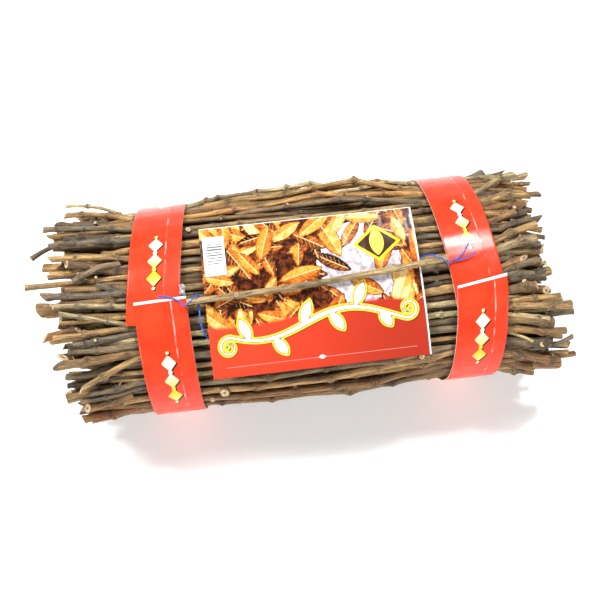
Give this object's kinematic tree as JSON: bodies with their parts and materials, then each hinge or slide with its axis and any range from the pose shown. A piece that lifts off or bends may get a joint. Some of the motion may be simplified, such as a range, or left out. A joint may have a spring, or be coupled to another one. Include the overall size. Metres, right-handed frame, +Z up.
{
  "type": "bundle of twigs",
  "caption": "Bundle of dry vine twigs for kindling or grilling, lying on its side, held by two red paper bands, with a printed card tied under one long twig.",
  "frame": {"origin": "on the surface it lies on, below the middle of its box", "axes": "+X along the twigs, +Y to the back, away from the card, +Z up"},
  "size_m": [0.5388, 0.2352, 0.1809],
  "materials": {
    "twig_bark": "dry bark",
    "packed_twigs": "dry bark",
    "band_paper": "printed paper under clear tape",
    "card_print": "glossy print",
    "sticker_paper": "white paper label",
    "blue_wire": "plastic-coated wire"
  },
  "bodies": {
    "root": {"twig_01": "twig_bark", "twig_02": "twig_bark", "twig_03": "twig_bark", "twig_04": "twig_bark", "twig_05": "twig_bark", "twig_06": "twig_bark", "twig_07": "twig_bark", "twig_08": "twig_bark", "twig_09": "twig_bark", "twig_10": "twig_bark", "twig_11": "twig_bark", "twig_12": "twig_bark", "twig_13": "twig_bark", "twig_14": "twig_bark", "twig_15": "twig_bark", "twig_16": "twig_bark", "twig_17": "twig_bark", "twig_18": "twig_bark", "twig_19": "twig_bark", "twig_20": "twig_bark", "twig_21": "twig_bark", "twig_22": "twig_bark", "twig_23": "twig_bark", "twig_24": "twig_bark", "twig_25": "twig_bark", "twig_26": "twig_bark", "twig_27": "twig_bark", "twig_28": "twig_bark", "twig_29": "twig_bark", "twig_30": "twig_bark", "twig_31": "twig_bark", "twig_32": "twig_bark", "twig_33": "twig_bark", "twig_34": "twig_bark", "twig_35": "twig_bark", "twig_36": "twig_bark", "twig_37": "twig_bark", "twig_38": "twig_bark", "twig_39": "twig_bark", "twig_40": "twig_bark", "twig_41": "twig_bark", "twig_42": "twig_bark", "twig_43": "twig_bark", "twig_44": "twig_bark", "twig_45": "twig_bark", "twig_46": "twig_bark", "twig_47": "twig_bark", "twig_48": "twig_bark", "twig_49": "twig_bark", "twig_50": "twig_bark", "twig_51": "twig_bark", "twig_52": "twig_bark", "card_twig": "twig_bark", "packed_twigs": "packed_twigs", "paper_band_left": "band_paper", "paper_band_right": "band_paper", "label_card": "card_print", "barcode_sticker": "sticker_paper", "wire_tie_left": "blue_wire", "wire_tie_right": "blue_wire"}
  },
  "joints": []
}
